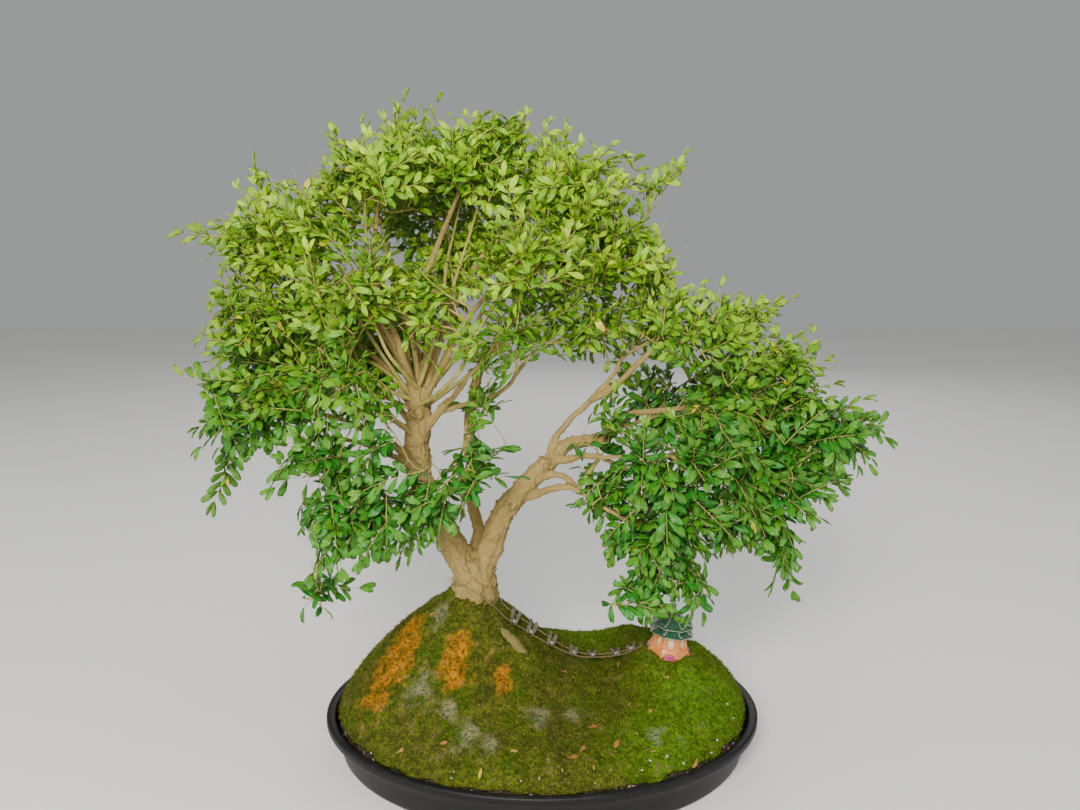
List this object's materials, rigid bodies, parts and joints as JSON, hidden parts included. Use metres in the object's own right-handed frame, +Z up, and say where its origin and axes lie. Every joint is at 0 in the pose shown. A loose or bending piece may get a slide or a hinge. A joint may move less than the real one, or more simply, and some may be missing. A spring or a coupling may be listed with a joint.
{
  "type": "boxwood bonsai in a pot",
  "caption": "Boxwood bonsai with leafy sprays on forked limbs, in a shallow oval pot with a moss mound, a toy rope bridge and a miniature pavilion.",
  "frame": {"origin": "middle of the pot's flat underside, on the surface that it stands on", "axes": "+X to the right along the pot's long axis, +Y to the back, +Z up; the front faces -Y"},
  "size_m": [0.6812, 0.3475, 0.6229],
  "materials": {
    "pot_plastic": "matte",
    "soil": "matte",
    "moss": "matte",
    "bark": "matte",
    "leaf": "satin",
    "glaze": "gloss",
    "rope": "matte",
    "slat_wood": "matte",
    "knot_cord": "matte"
  },
  "bodies": {
    "root": {"bridge_knot_1": "knot_cord", "bridge_knot_2": "knot_cord", "bridge_knot_3": "knot_cord", "bridge_knot_4": "knot_cord", "bridge_knot_5": "knot_cord", "bridge_knot_6": "knot_cord", "bridge_knot_7": "knot_cord", "bridge_rope_back": "rope", "bridge_rope_front": "rope", "bridge_slat_1a": "slat_wood", "bridge_slat_1b": "slat_wood", "bridge_slat_2a": "slat_wood", "bridge_slat_2b": "slat_wood", "bridge_slat_3a": "slat_wood", "bridge_slat_3b": "slat_wood", "bridge_slat_4a": "slat_wood", "bridge_slat_4b": "slat_wood", "bridge_slat_5a": "slat_wood", "bridge_slat_5b": "slat_wood", "bridge_slat_6a": "slat_wood", "bridge_slat_6b": "slat_wood", "bridge_slat_7a": "slat_wood", "bridge_slat_7b": "slat_wood", "moss": "moss", "pavilion": "glaze", "pot": "pot_plastic", "soil": "soil", "spray_centre_front": "leaf", "spray_centre_low": "leaf", "spray_centre_right": "leaf", "spray_crown_back": "leaf", "spray_crown_front": "leaf", "spray_crown_left_top": "leaf", "spray_crown_mid_top": "leaf", "spray_crown_right": "leaf", "spray_crown_right_top": "leaf", "spray_left_back": "leaf", "spray_left_inner": "leaf", "spray_left_low": "leaf", "spray_left_mid": "leaf", "spray_left_mid_inner": "leaf", "spray_left_upper": "leaf", "spray_lower_left": "leaf", "spray_right_back": "leaf", "spray_right_far": "leaf", "spray_right_front": "leaf", "spray_right_low": "leaf", "spray_right_low_far": "leaf", "spray_right_mid": "leaf", "spray_right_upper": "leaf", "trunk": "bark", "trunk_knot": "knot_cord"}
  },
  "joints": []
}
